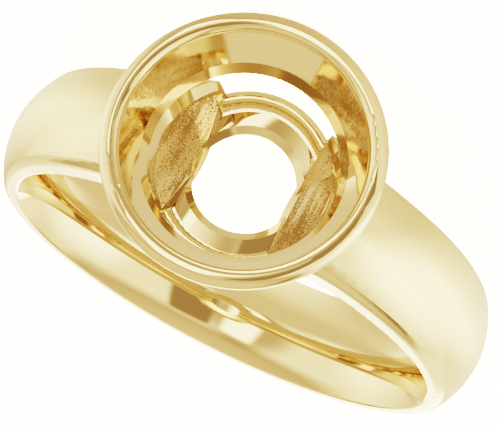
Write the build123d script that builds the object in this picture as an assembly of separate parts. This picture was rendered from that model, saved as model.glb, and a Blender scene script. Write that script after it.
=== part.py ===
from build123d import *
import math
import os

os.makedirs("parts", exist_ok=True)

# All sizes are in millimetres and all angles in degrees.
# The ring is drawn about the centre of the finger: X runs from shoulder to shoulder,
# Y along the finger and Z up through the setting. It is laid on its side at the end.

# The shank, a comfort-fit band
BORE_RADIUS = 8.67
SHOULDER_THICKNESS = 2.9
SHOULDER_WIDTH = 4.6
OUTER_CORNER = 0.6
INNER_CORNER = 0.62
# The radii of the crown outside and of the bow inside, as shares of the band's width there
CROWN_PER_WIDTH = 0.86
COMFORT_PER_WIDTH = 0.88

# Each row is a section of one half: its angle from the setting, then its thickness and width
# as shares of the shoulder's and its corner radii as shares of the two corners above.
SHANK_SECTIONS = (
    # angle, thickness, width, outer corner, inner corner
    (8, 1.190, 1.250, 1.00, 1.00),
    (14, 1.150, 1.180, 1.00, 0.96),
    (21, 1.090, 1.060, 0.98, 0.90),
    (34, 0.960, 0.989, 0.92, 0.72),
    (52, 0.829, 0.974, 0.83, 0.48),
    (74, 0.700, 0.960, 0.75, 0.26),
    (100, 0.669, 0.956, 0.73, 0.20),
    (128, 0.677, 0.947, 0.73, 0.20),
    (154, 0.687, 0.936, 0.73, 0.20),
    (180, 0.691, 0.931, 0.73, 0.20),
)

# The cup that held the stone: a rounded rim, a tapered wall and a steeper foot
SETTING_HEIGHT = 4.8
RIM_RADIUS = 5.49
RIM_BEAD = 0.42
MOUTH_RADIUS = 4.74
MOUTH_DEPTH = 0.52
WALL_DEPTH = 1.38
WALL_ANGLE = 28.4
FOOT_DEPTH = 0.39
FOOT_ANGLE = 37.5
FOOT_DROP = 0.27

# The gallery ring under the cup: a dish bowed about the finger, with a bevelled hole and a
# rounded collar
HOLE_RADIUS = 2.02
BEVEL_WIDTH = 0.3
BEVEL_HEIGHT = 0.18
DISH_THICKNESS = 0.36
DISH_FILLET = 0.26
COLLAR_WIDTH = 0.46
COLLAR_OUTER_EDGE = 0.26
COLLAR_INNER_EDGE = 0.15
GALLERY_SETBACK = 0.05
GALLERY_HEIGHT = 0.95
GALLERY_RADIUS = 3.62

# The cut that opens the shank's ends under the cup: a wall, a ramp and four corner facets
END_SETBACK = 0.27
END_TAPER = 0.82
RAMP_INNER = 1.80
RAMP_SLOPE = 1.21
END_ANGLE = 12.8
FACET_DEPTH = 1.68
FACET_X_SLOPE = 0.767
FACET_Y_SLOPE = 0.43

# Places that several pieces share
RIM_TOP = BORE_RADIUS + SETTING_HEIGHT
BEAD_CENTRE = Vector(RIM_RADIUS - RIM_BEAD, RIM_TOP - RIM_BEAD)
WALL_TOP = Vector(MOUTH_RADIUS, RIM_TOP - MOUTH_DEPTH)
WALL_LEAN = math.tan(math.radians(WALL_ANGLE))
CREASE = WALL_TOP - Vector(WALL_DEPTH * WALL_LEAN, WALL_DEPTH)
FOOT = CREASE - Vector(FOOT_DEPTH * math.tan(math.radians(FOOT_ANGLE)), FOOT_DEPTH)
# Beyond every surface, so that a cut runs right through
CLEAR = 2.0


def toward(start, end, distance):
    """The point a distance from the start, on the way to the end."""
    return start + (end - start).normalized() * distance


def mirrored(point):
    return Vector(-point.X, point.Y)


def corner_arc(start, end, centre, radius):
    return ThreePointArc(start, toward(centre, (start + end) * 0.5, radius), end)


def section_centres(thickness, width, outer, inner):
    """The crown's and the inside's radii, and the centres of a section's four kinds of arc."""
    crown_radius = width * CROWN_PER_WIDTH
    comfort_radius = width * COMFORT_PER_WIDTH
    crown = Vector(0, BORE_RADIUS + thickness - crown_radius)
    comfort = Vector(0, BORE_RADIUS + comfort_radius)
    out_x = width / 2 - outer
    in_x = width / 2 - inner
    out_rise = math.sqrt((crown_radius - outer) ** 2 - out_x**2)
    in_drop = math.sqrt((comfort_radius - inner) ** 2 - in_x**2)
    out_centre = Vector(out_x, crown.Y + out_rise)
    in_centre = Vector(in_x, comfort.Y - in_drop)
    return crown_radius, crown, out_centre, comfort_radius, comfort, in_centre


def shank_section(angle, thickness, width, outer, inner):
    """One section's face: a crown, two rounded flanks and the bowed comfort-fit inside."""
    centres = section_centres(thickness, width, outer, inner)
    crown_radius, crown, out_centre, comfort_radius, comfort, in_centre = centres
    crown_end = toward(crown, out_centre, crown_radius)
    out_flank = Vector(width / 2, out_centre.Y)
    in_flank = Vector(width / 2, in_centre.Y)
    comfort_end = toward(comfort, in_centre, comfort_radius)
    outline = Wire(
        [
            ThreePointArc(mirrored(crown_end), (0, BORE_RADIUS + thickness), crown_end),
            corner_arc(crown_end, out_flank, out_centre, outer),
            Line(out_flank, in_flank),
            corner_arc(in_flank, comfort_end, in_centre, inner),
            ThreePointArc(comfort_end, (0, BORE_RADIUS), mirrored(comfort_end)),
            corner_arc(mirrored(comfort_end), mirrored(in_flank), mirrored(in_centre), inner),
            Line(mirrored(in_flank), mirrored(out_flank)),
            corner_arc(mirrored(out_flank), mirrored(crown_end), mirrored(out_centre), outer),
        ]
    )
    turn = math.radians(angle)
    plane = Plane((0, 0, 0), x_dir=(0, 1, 0), z_dir=(math.cos(turn), 0, -math.sin(turn)))
    return plane * Face(outline)


def sized(row):
    """A row of the table in real sizes."""
    angle, thickness, width, outer, inner = row
    return (
        angle,
        thickness * SHOULDER_THICKNESS,
        width * SHOULDER_WIDTH,
        outer * OUTER_CORNER,
        inner * INNER_CORNER,
    )


def shank():
    """The band, lofted once round the finger and open where the setting stands."""
    half = [sized(row) for row in SHANK_SECTIONS]
    other_half = [(360 - row[0], *row[1:]) for row in reversed(half[:-1])]
    return loft([shank_section(*row) for row in half + other_half])


def turned(edges):
    """A solid of revolution about the setting's axis, from its half profile."""
    return revolve(Plane.XZ * Face(Wire(edges)), Axis.Z)


def cup():
    """The cup, with a bead rolled over its mouth and open at its foot."""
    bead_top = BEAD_CENTRE + Vector(0, RIM_BEAD)
    lean = math.radians(WALL_ANGLE)
    bead_side = BEAD_CENTRE + Vector(math.cos(lean), -math.sin(lean)) * RIM_BEAD
    bottom = FOOT.Y - FOOT_DROP
    outer_foot = Vector(bead_side.X - (bead_side.Y - bottom) * WALL_LEAN, bottom)
    # The bead's inner arc is level at its top and ends where the wall starts.
    across = BEAD_CENTRE.X - WALL_TOP.X
    down = bead_top.Y - WALL_TOP.Y
    inner_bead = (across**2 + down**2) / (2 * down)
    inner_centre = bead_top - Vector(0, inner_bead)
    return turned(
        [
            corner_arc(bead_top, bead_side, BEAD_CENTRE, RIM_BEAD),
            Line(bead_side, outer_foot),
            Line(outer_foot, FOOT),
            Line(FOOT, CREASE),
            Line(CREASE, WALL_TOP),
            corner_arc(WALL_TOP, bead_top, inner_centre, inner_bead),
        ]
    )


def about_finger(radius):
    """A solid cylinder about the finger, as long as the gallery ring needs."""
    return Rot(90, 0, 0) * Cylinder(radius, 2 * (GALLERY_RADIUS + CLEAR))


def about_setting(radius):
    """A solid cylinder about the setting's axis, through the gallery ring."""
    return Pos(0, 0, BORE_RADIUS) * Cylinder(radius, BORE_RADIUS)


def round_edge(solid, radius, pick):
    """The solid's highest or lowest curved edge, as pick says, at a radius from the setting's axis."""
    curves = [edge for edge in solid.edges() if edge.geom_type != GeomType.LINE]
    level = [edge for edge in curves if abs(edge.bounding_box().max.Y - radius) < 0.001]
    return pick(level, key=lambda edge: edge.bounding_box().max.Z)


def gallery_ring():
    """The ring on the finger side, seen through the cup."""
    dish_radius = GALLERY_RADIUS - COLLAR_WIDTH
    dish = about_setting(dish_radius) - about_finger(BORE_RADIUS + DISH_THICKNESS)
    ring = about_setting(GALLERY_RADIUS) & about_finger(BORE_RADIUS + GALLERY_HEIGHT)
    ring = ring - dish - about_finger(BORE_RADIUS + GALLERY_SETBACK) - about_setting(HOLE_RADIUS)
    ring = chamfer(round_edge(ring, HOLE_RADIUS, max), BEVEL_HEIGHT, BEVEL_WIDTH)
    ring = fillet(round_edge(ring, GALLERY_RADIUS, max), COLLAR_OUTER_EDGE)
    ring = fillet(round_edge(ring, dish_radius, max), COLLAR_INNER_EDGE)
    return fillet(round_edge(ring, dish_radius, min), DISH_FILLET)


def end_cut():
    """What is taken off the shank's ends: all that is inside a wall and above the facets."""
    top = RIM_TOP + CLEAR
    end_radius = FOOT.X - END_SETBACK
    taper = FOOT.Y - END_TAPER
    corners = [(0, 0), (end_radius, 0), (end_radius, taper), FOOT, CREASE, WALL_TOP]
    corners += [(MOUTH_RADIUS, top), (0, top)]
    wall = turned(Polyline(corners, close=True).edges())
    ramp_apex = math.sqrt(BORE_RADIUS**2 - RAMP_INNER**2) - RAMP_INNER * RAMP_SLOPE
    reach = (top - ramp_apex) / RAMP_SLOPE
    ramp_outline = Polyline([(0, ramp_apex), (reach, top), (-reach, top)], close=True)
    ramps = extrude(Plane.XZ * Face(Wire(ramp_outline.edges())), SHOULDER_WIDTH, both=True)
    facet_apex = BORE_RADIUS - FACET_DEPTH
    across = (top - facet_apex) / FACET_X_SLOPE
    along = (top - facet_apex) / FACET_Y_SLOPE
    rhomb = Polyline([(across, 0), (0, along), (-across, 0), (0, -along)], close=True)
    facets = loft([Vertex(0, 0, facet_apex), Plane.XY.offset(top) * Face(Wire(rhomb.edges()))])
    open_half = top * math.tan(math.radians(END_ANGLE))
    opening = Polyline([(0, 0), (open_half, top), (-open_half, top)], close=True)
    between = extrude(Plane.XZ * Face(Wire(opening.edges())), SHOULDER_WIDTH, both=True)
    hole = Pos(0, 0, top / 2) * Cylinder(HOLE_RADIUS, top)
    return (ramps & wall & (facets + hole)) + (ramps & between)


def resting_tilt():
    """The slope of the line that touches both the cup's bead and the shank's far corner."""
    corner = sized(SHANK_SECTIONS[-1])[3]
    corner_centre = section_centres(*sized(SHANK_SECTIONS[-1])[1:])[2]
    run = BEAD_CENTRE.Y + corner_centre.Y
    rise = BEAD_CENTRE.X - corner_centre.X
    return math.atan2(rise, run) - math.asin((corner - RIM_BEAD) / math.hypot(run, rise))


def lying(solid):
    """Lays the ring on its side, its setting to the front and its lowest point at Z = 0."""
    tilt = resting_tilt()
    rest = Plane((0, 0, 0), x_dir=(-1, 0, 0), z_dir=(0, -math.cos(tilt), math.sin(tilt)))
    turned_over = rest.location * solid
    box = turned_over.bounding_box()
    return Pos(-box.center().X, -box.center().Y, -box.min.Z) * turned_over


ring_mounting = lying((shank() - end_cut()) + cup() + gallery_ring())
export_step(ring_mounting, "parts/ring_mounting.step")
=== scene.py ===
import math

import bpy
from mathutils import Matrix, Vector

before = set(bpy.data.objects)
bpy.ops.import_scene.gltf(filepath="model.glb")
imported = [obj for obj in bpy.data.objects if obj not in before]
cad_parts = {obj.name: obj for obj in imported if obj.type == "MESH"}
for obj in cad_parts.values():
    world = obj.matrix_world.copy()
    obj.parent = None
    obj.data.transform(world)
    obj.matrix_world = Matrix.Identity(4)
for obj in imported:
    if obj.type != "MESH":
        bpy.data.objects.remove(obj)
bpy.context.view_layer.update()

scene = bpy.context.scene
mm = 0.001

# How the ring lies: its finger hole's axis leans back from upright, in degrees, and the
# hole's middle is at this Y and Z, in mm.
ringLies = {"lean": 8.354, "middle": (1.734, 3.540)}
smooth = {"interpolation_type": "SMOOTHSTEP"}  # a range that eases in and out


def linear(hexColour):
    # sRGB hex to the linear light that the shaders work in
    channels = (int(hexColour[i : i + 2], 16) / 255 for i in (1, 3, 5))
    lit = (c / 12.92 if c <= 0.04045 else ((c + 0.055) / 1.055) ** 2.4 for c in channels)
    return (*lit, 1.0)


def addNode(tree, kind, settings=None, inputs=None):
    # An input is linked where it is given a socket, and set where it is given a value
    node = tree.nodes.new(kind)
    for name, value in (settings or {}).items():
        setattr(node, name, value)
    for name, value in (inputs or {}).items():
        if isinstance(value, bpy.types.NodeSocket):
            tree.links.new(value, node.inputs[name])
        else:
            node.inputs[name].default_value = value
    return node


# The camera looks down into the cup from in front, rolled over as the photograph is.
# Its place is in mm, its focal length in pixels of a frame 500 wide.
camera = {
    "place": (-20.9, -145.3, 66.5),
    "right": (-0.8941, -0.0642, -0.4432),
    "back": (-0.132, -0.9079, 0.3978),
    "focal": 3948.2,
    "frameWidth": 500,
    "sensor": 36.0,  # mm
    "clip": (0.005, 5.0),  # m
}


def makeCamera(c):
    data = bpy.data.cameras.new("camera")
    data.sensor_width = c["sensor"]
    data.lens = c["focal"] / c["frameWidth"] * data.sensor_width
    data.clip_start, data.clip_end = c["clip"]
    back = Vector(c["back"]).normalized()
    right = Vector(c["right"])
    right = (right - back * right.dot(back)).normalized()
    up = back.cross(right)
    turn = Matrix((right, up, back)).transposed().to_4x4()
    obj = bpy.data.objects.new("camera", data)
    obj.matrix_world = Matrix.Translation(Vector(c["place"]) * mm) @ turn
    scene.collection.objects.link(obj)
    scene.camera = obj


makeCamera(camera)
print("camera done")


# 14K yellow gold, cast and polished: a pale warm mirror, deepest where it mirrors itself.
# The buffing wheel leaves it a little more and a little less sharp from place to place.
gold = {
    "colour": "#E4D2B8",
    "roughness": (0.035, 0.075),
    "buffing": 1.6,  # mm, the width of a buffed patch
}

# The cut ends of the band under the cup are out of the polisher's reach. They stay as
# cast and filed: duller, with dark grit in streaks along the finger.
asCast = {
    "colour": "#DDCCB8",
    "grit": "#A2896B",
    "roughness": (0.2, 0.42),
    "grain": 0.06,  # mm, the grain of the investment plaster
    "streak": 0.32,  # mm, the width of a file's streak
    "drawnOut": (1, 0.12, 0.3),  # a streak runs on along the finger
    "cover": (0.94, 1.12),  # streak and grain together, where grit starts and is full
    "depth": 0.008,  # mm
}

# Where the cut ends are, in mm from the finger hole's middle: across the setting, along
# the finger, their reach from the setting's axis, and up towards the setting.
cutEnds = (
    ("across", "GREATER_THAN", 2.125),
    ("along", "LESS_THAN", 2.29),
    ("reach", "LESS_THAN", 3.42),
    ("up", "GREATER_THAN", 8.85),
    ("up", "LESS_THAN", 11.2),
)


def ringPlaces(tree, lies):
    # Places in mm from the finger hole's middle: X across, Y along the finger, Z up
    lean = math.radians(lies["lean"])
    y, z = lies["middle"]
    middle = (0, y * math.sin(lean) + z * math.cos(lean), y * math.cos(lean) - z * math.sin(lean))
    turned = {
        "Vector": addNode(tree, "ShaderNodeTexCoord").outputs["Object"],
        "Location": middle,
        "Rotation": (lean - math.pi / 2, 0, math.pi),
        "Scale": (1 / mm, 1 / mm, 1 / mm),
    }
    return addNode(tree, "ShaderNodeMapping", None, turned).outputs["Vector"]


def makeGold(g, cast, ends):
    material = bpy.data.materials.new("14K yellow gold, high polish, as cast on the cut ends")
    material.use_nodes = True
    tree = material.node_tree
    shader = tree.nodes["Principled BSDF"]
    shader.inputs["Metallic"].default_value = 1.0
    places = ringPlaces(tree, ringLies)

    # The mask is 1 on the cut ends, where each measure is within its limit
    split = addNode(tree, "ShaderNodeSeparateXYZ", None, {0: places})
    across, along, up = (split.outputs[axis] for axis in "XYZ")
    flat = addNode(tree, "ShaderNodeCombineXYZ", None, {"X": across, "Y": along})
    reach = addNode(tree, "ShaderNodeVectorMath", {"operation": "LENGTH"}, {0: flat.outputs[0]})
    measures = {"reach": reach.outputs["Value"], "up": up}
    for name, side in (("across", across), ("along", along)):
        size = addNode(tree, "ShaderNodeMath", {"operation": "ABSOLUTE"}, {0: side})
        measures[name] = size.outputs[0]
    mask = 1.0
    for name, test, limit in ends:
        within = addNode(tree, "ShaderNodeMath", {"operation": test}, {0: measures[name], 1: limit})
        both = {0: within.outputs[0], 1: mask}
        mask = addNode(tree, "ShaderNodeMath", {"operation": "MULTIPLY"}, both).outputs[0]

    # Grit lies thick within a streak and thin between streaks
    stretch = [share / cast["streak"] for share in cast["drawnOut"]]
    drawn = addNode(tree, "ShaderNodeMapping", None, {"Vector": places, "Scale": stretch})
    patterns = (
        (drawn.outputs[0], 1, 2),
        (places, 1 / cast["grain"], 2),
        (places, 1 / g["buffing"], 3),
    )
    noises = []
    for vector, scale, detail in patterns:
        noise = {"Vector": vector, "Scale": scale, "Detail": detail}
        noises.append(addNode(tree, "ShaderNodeTexNoise", None, noise).outputs["Fac"])
    streaks, grains, buffed = noises
    both = addNode(tree, "ShaderNodeMath", {"operation": "ADD"}, {0: streaks, 1: grains})
    start, full = cast["cover"]
    cover = {"Value": both.outputs[0], "From Min": start, "From Max": full}
    grit = addNode(tree, "ShaderNodeMapRange", smooth, cover).outputs["Result"]

    rough = []
    for source, (least, most) in ((buffed, g["roughness"]), (grit, cast["roughness"])):
        span = {"Value": source, "To Min": least, "To Max": most}
        rough.append(addNode(tree, "ShaderNodeMapRange", None, span).outputs["Result"])
    roughness = addNode(tree, "ShaderNodeMix", None, {0: mask, 2: rough[0], 3: rough[1]})
    tree.links.new(roughness.outputs[0], shader.inputs["Roughness"])

    shades = {0: grit, 6: linear(cast["colour"]), 7: linear(cast["grit"])}
    dull = addNode(tree, "ShaderNodeMix", {"data_type": "RGBA"}, shades)
    shades = {0: mask, 6: linear(g["colour"]), 7: dull.outputs[2]}
    colour = addNode(tree, "ShaderNodeMix", {"data_type": "RGBA"}, shades)
    tree.links.new(colour.outputs[2], shader.inputs["Base Color"])

    height = addNode(tree, "ShaderNodeMath", {"operation": "MULTIPLY"}, {0: mask, 1: grit})
    pits = {"Height": height.outputs[0], "Strength": 1, "Distance": cast["depth"] * mm}
    bump = addNode(tree, "ShaderNodeBump", {"invert": True}, pits)
    tree.links.new(bump.outputs[0], shader.inputs["Normal"])
    return material


polished = makeGold(gold, asCast, cutEnds)
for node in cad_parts.values():
    for slot in node.material_slots:
        slot.material = polished
print("gold done")


def makeSheet(name, corners, faces, material):
    mesh = bpy.data.meshes.new(name)
    mesh.from_pydata([[side * mm for side in corner] for corner in corners], [], faces)
    mesh.materials.append(material)
    obj = bpy.data.objects.new(name, mesh)
    scene.collection.objects.link(obj)
    return obj


def newMaterial(name):
    material = bpy.data.materials.new(name)
    material.use_nodes = True
    material.node_tree.nodes.clear()
    return material, material.node_tree


def aim(azimuth, elevation):
    # azimuth 0 looks along -Y, 90 along +X
    a, e = math.radians(azimuth), math.radians(elevation)
    return Vector((math.sin(a) * math.cos(e), -math.cos(a) * math.cos(e), math.sin(e)))


# Round softboxes behind the tent's cloth, and dark patches, which take light away: inner
# and outer are the angles, from its middle, at which each is full and gone.
softboxes = (
    {"azimuth": -95, "elevation": -9, "inner": 0, "outer": 44, "light": 2.1},
    {"azimuth": 100, "elevation": -10, "inner": 0, "outer": 42, "light": 1.0},
    {"azimuth": 134, "elevation": 1, "inner": 0, "outer": 38, "light": -0.55},
    {"azimuth": -114, "elevation": 20, "inner": 0, "outer": 30, "light": -0.5},
    {"azimuth": 181, "elevation": -17, "inner": 16, "outer": 28, "light": 4.5},
    {"azimuth": 14, "elevation": 15, "inner": 14, "outer": 34, "light": -1.0},
)
# The cloth's own colour, and the warmer one it lets through where it is dim
cloth = {"bright": "#FFEEB9", "dim": "#FFD9A2", "range": (0.3, 1.5)}


def addSoftboxes(tree, direction, total):
    for box in softboxes:
        facing = {0: direction, 1: aim(box["azimuth"], box["elevation"])}
        near = addNode(tree, "ShaderNodeVectorMath", {"operation": "DOT_PRODUCT"}, facing)
        span = {
            "Value": near.outputs["Value"],
            "From Min": math.cos(math.radians(box["outer"])),
            "From Max": math.cos(math.radians(box["inner"])),
            "To Max": box["light"],
        }
        glow = addNode(tree, "ShaderNodeMapRange", smooth, span)
        both = {0: total, 1: glow.outputs["Result"]}
        total = addNode(tree, "ShaderNodeMath", {"operation": "ADD"}, both).outputs[0]
    return total


def clothColour(tree, strength):
    dim, bright = cloth["range"]
    span = {"Value": strength, "From Min": dim, "From Max": bright}
    share = addNode(tree, "ShaderNodeMapRange", None, span).outputs["Result"]
    shades = {0: share, 6: linear(cloth["dim"]), 7: linear(cloth["bright"])}
    return addNode(tree, "ShaderNodeMix", {"data_type": "RGBA"}, shades).outputs[2]


# The floor is a white card. In the gold it glows with painted light: painted pools of the same
# boxes' light, and painted shade that darkens it near the ring.
# The camera sees it as a lit card, overexposed as in a product shot, so that only faint real
# shadows are left on it.
# far is the painted glow away from the ring, near the painted shade beside it, and fade the
# distances in mm over which one gives way to the other
floor = {"half": 600, "far": 1.5, "near": 0.95, "fade": (6.5, 21), "overexposed": 14.0}


def makePaintedLightFloor(f):
    material, tree = newMaterial("white card with painted light and shade")
    place = addNode(tree, "ShaderNodeTexCoord").outputs["Object"]
    # Painted shade: within fade mm of the ring the card's glow falls to near, as if the ring shaded
    # it
    distance = addNode(tree, "ShaderNodeVectorMath", {"operation": "LENGTH"}, {0: place})
    start, full = f["fade"]
    span = {"Value": distance.outputs["Value"], "From Min": start * mm, "From Max": full * mm}
    fade = addNode(tree, "ShaderNodeMapRange", smooth, span).outputs["Result"]
    # Painted pools of light: away from the ring the card glows as the softboxes would light it,
    # though no lamp lights this emission
    outward = addNode(tree, "ShaderNodeVectorMath", {"operation": "NORMALIZE"}, {0: place})
    light = addSoftboxes(tree, outward.outputs[0], f["far"])
    glow = addNode(tree, "ShaderNodeMix", None, {0: fade, 2: f["near"], 3: light}).outputs[0]
    glows = {"Strength": glow, "Color": clothColour(tree, glow)}
    lit = addNode(tree, "ShaderNodeEmission", None, glows)
    white = {"Color": (f["overexposed"],) * 3 + (1,)}
    bright = addNode(tree, "ShaderNodeBsdfDiffuse", None, white)
    seen = addNode(tree, "ShaderNodeLightPath").outputs["Is Camera Ray"]
    sides = {0: seen, 1: lit.outputs[0], 2: bright.outputs[0]}
    both = addNode(tree, "ShaderNodeMixShader", None, sides)
    addNode(tree, "ShaderNodeOutputMaterial", None, {"Surface": both.outputs[0]})
    half = f["half"]
    corners = [(-half, -half, 0), (half, -half, 0), (half, half, 0), (-half, half, 0)]
    makeSheet("floor", corners, [(0, 1, 2, 3)], material)


makePaintedLightFloor(floor)
print("floor done")


# The tent round the ring: rings of light about the finger's axis, by their angle from
# the ring's middle plane. The camera sees it overexposed too.
tent = {
    "strength": 1.72,
    "overexposed": 20.0,
    "rings": (
        (-90, "#CDCDCD"),
        (-58, "#CDCDCD"),
        (-40, "#B0B0B0"),
        (-29, "#FFFFFF"),
        (28, "#FFFFFF"),
        (37, "#B0B0B0"),
        (55, "#CDCDCD"),
    ),
}


def makeTent(t):
    world = bpy.data.worlds.new("tent")
    scene.world = world
    world.use_nodes = True
    tree = world.node_tree
    tree.nodes.clear()
    direction = addNode(tree, "ShaderNodeTexCoord").outputs["Generated"]
    axis = {0: direction, 1: aim(180, 90 - ringLies["lean"])}
    along = addNode(tree, "ShaderNodeVectorMath", {"operation": "DOT_PRODUCT"}, axis)
    span = {"Value": along.outputs["Value"], "From Min": -1}
    share = addNode(tree, "ShaderNodeMapRange", None, span)
    ramp = addNode(tree, "ShaderNodeValToRGB", None, {"Fac": share.outputs["Result"]})
    stops = ramp.color_ramp.elements  # it starts with two
    for index, (angle, colour) in enumerate(t["rings"]):
        place = (math.sin(math.radians(angle)) + 1) / 2
        stop = stops[index] if index < 2 else stops.new(place)
        stop.position = place
        stop.color = linear(colour)
    both = {0: ramp.outputs["Color"], 1: t["strength"]}
    greys = addNode(tree, "ShaderNodeMath", {"operation": "MULTIPLY"}, both)
    strength = addSoftboxes(tree, direction, greys.outputs[0])
    glows = {"Strength": strength, "Color": clothColour(tree, strength)}
    light = addNode(tree, "ShaderNodeBackground", None, glows)
    white = {"Color": (1, 1, 1, 1), "Strength": t["overexposed"]}
    bright = addNode(tree, "ShaderNodeBackground", None, white)
    seen = addNode(tree, "ShaderNodeLightPath").outputs["Is Camera Ray"]
    sides = {0: seen, 1: light.outputs[0], 2: bright.outputs[0]}
    both = addNode(tree, "ShaderNodeMixShader", None, sides)
    addNode(tree, "ShaderNodeOutputWorld", None, {"Surface": both.outputs[0]})


makeTent(tent)
print("tent done")


# Cards seen only in the gold, in front of the ring. Each stands far off on the floor, up
# to the elevation top, and runs on just above the floor until near the ring. In mm.
cards = (
    {
        "name": "dark flag",
        "azimuth": (-38, -4),
        "far": 400,
        "top": 42,
        "near": 30,
        "above": 0.4,
        "light": 0.4,
        "colour": "#FFD9A2",
        "feather": 0.16,
    },
    {
        "name": "white key card",
        "azimuth": (-2, 25),
        "far": 400,
        "top": 41,
        "near": 16,
        "above": 0.2,
        "light": 3.5,
        "colour": "#FFEEB9",
        "feather": 0.24,
    },
)


def makeCard(c):
    azimuths = [math.radians(angle) for angle in c["azimuth"]]
    near, far, low = c["near"], c["far"], c["above"]
    top = far * math.tan(math.radians(c["top"]))
    rows = ((near, low, 0), (far, low, 0.5), (far, top, 1))  # reach, height, share of the way
    corners = []
    for reach, height, _ in rows:
        corners += [(reach * math.sin(a), -reach * math.cos(a), height) for a in azimuths]
    material, tree = newMaterial(c["name"])
    glows = {"Strength": c["light"], "Color": linear(c["colour"])}
    paint = addNode(tree, "ShaderNodeEmission", None, glows)

    # The card's sides and top fade out, as the edges of a lit card do
    across = addNode(tree, "ShaderNodeUVMap").outputs[0]
    where = addNode(tree, "ShaderNodeSeparateXYZ", None, {0: across})
    feather = c["feather"]
    fade = 1.0
    for axis, start, full in (("X", 0, feather), ("X", 1, 1 - feather), ("Y", 1, 1 - feather / 2)):
        span = {"Value": where.outputs[axis], "From Min": start, "From Max": full}
        edge = addNode(tree, "ShaderNodeMapRange", smooth, span)
        both = {0: edge.outputs["Result"], 1: fade}
        fade = addNode(tree, "ShaderNodeMath", {"operation": "MULTIPLY"}, both).outputs[0]
    clear = addNode(tree, "ShaderNodeBsdfTransparent")
    sides = {0: fade, 1: clear.outputs[0], 2: paint.outputs[0]}
    card = addNode(tree, "ShaderNodeMixShader", None, sides)
    addNode(tree, "ShaderNodeOutputMaterial", None, {"Surface": card.outputs[0]})

    obj = makeSheet(c["name"], corners, [(0, 1, 3, 2), (2, 3, 5, 4)], material)
    layer = obj.data.uv_layers.new(name="across")
    for loop in obj.data.loops:
        row, side = divmod(loop.vertex_index, 2)
        layer.data[loop.index].uv = (side, rows[row][2])
    obj.visible_camera = False
    obj.visible_diffuse = False
    obj.visible_shadow = False


for card in cards:
    makeCard(card)
print("cards done")

# Gold mirrors gold many times over where the band turns away from the camera
picture = {"view": "Filmic", "look": "Very High Contrast", "reflections": 24}
scene.view_settings.view_transform = picture["view"]
scene.view_settings.look = picture["look"]
scene.cycles.max_bounces = picture["reflections"]
scene.cycles.glossy_bounces = picture["reflections"]
print("stage done")
